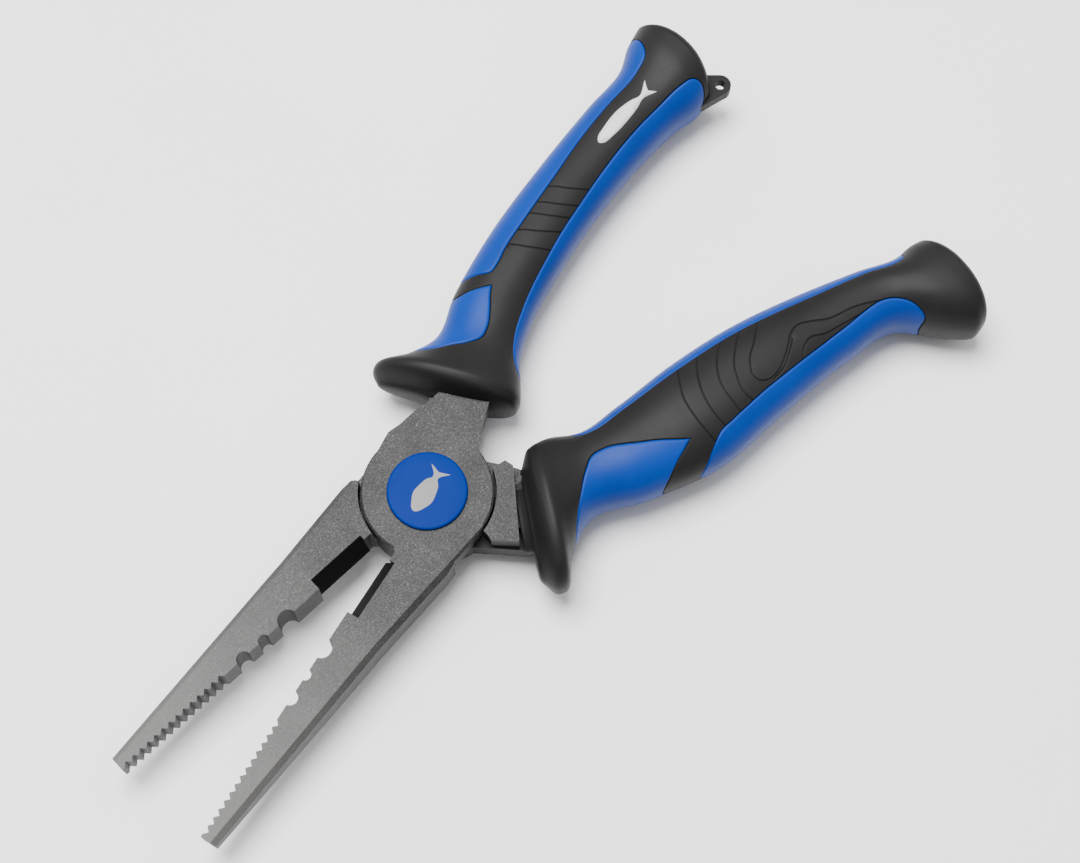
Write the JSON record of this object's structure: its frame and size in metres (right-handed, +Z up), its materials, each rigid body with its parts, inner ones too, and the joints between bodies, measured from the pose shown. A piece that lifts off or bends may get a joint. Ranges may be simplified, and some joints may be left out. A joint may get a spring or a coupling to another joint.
{
  "type": "fishing pliers",
  "caption": "Long-nose fishing pliers with crimping notches, wire cutter, sprung pivot and guarded two-colour grips with a lanyard eye.",
  "frame": {"origin": "under the middle of the pliers' bounding box, on the surface they lie on", "axes": "+X from the handles towards the jaw tips, midway between the jaws; +Z up through the pivot, out of the cap; +Y towards the jaw of the upper lever"},
  "size_m": [0.2222, 0.118, 0.0241],
  "materials": {
    "forged_steel": "fine bead-blasted, oiled grey",
    "pivot_steel": "turned, satin",
    "spring_steel": "drawn wire",
    "cap_blue": "satin anodised",
    "emblem_silver": "satin",
    "grip_black": "fine matt texture",
    "grip_blue": "satin",
    "core_black": "moulded",
    "badge_white": "printed"
  },
  "bodies": {
    "lower": {"lower_lever": "forged_steel", "pivot_bolt": "pivot_steel", "pivot_nut": "pivot_steel", "tension_washer": "spring_steel", "thrust_washer": "pivot_steel", "return_spring": "spring_steel", "lower_grip_core": "core_black", "lower_grip_cover": "grip_black", "lower_guard_panel": "grip_blue", "lower_outer_strip": "grip_blue", "lower_inner_strip": "grip_blue"},
    "upper": {"upper_lever": "forged_steel", "cap_disc": "cap_blue", "cap_emblem": "emblem_silver", "lanyard_tab": "core_black", "upper_grip_badge": "badge_white", "upper_grip_core": "core_black", "upper_grip_cover": "grip_black", "upper_guard_panel": "grip_blue", "upper_outer_strip": "grip_blue", "upper_inner_strip": "grip_blue"}
  },
  "joints": [
    {"name": "pivot", "type": "hinge", "parent": "lower", "child": "upper", "pos_m": [0.01916, -0.01994, 0.01206], "axis": [0, 0, -1], "range_deg": [-8, 14.3], "stiffness_Nm_per_rad": 0.6, "deforming": ["return_spring"]}
  ]
}
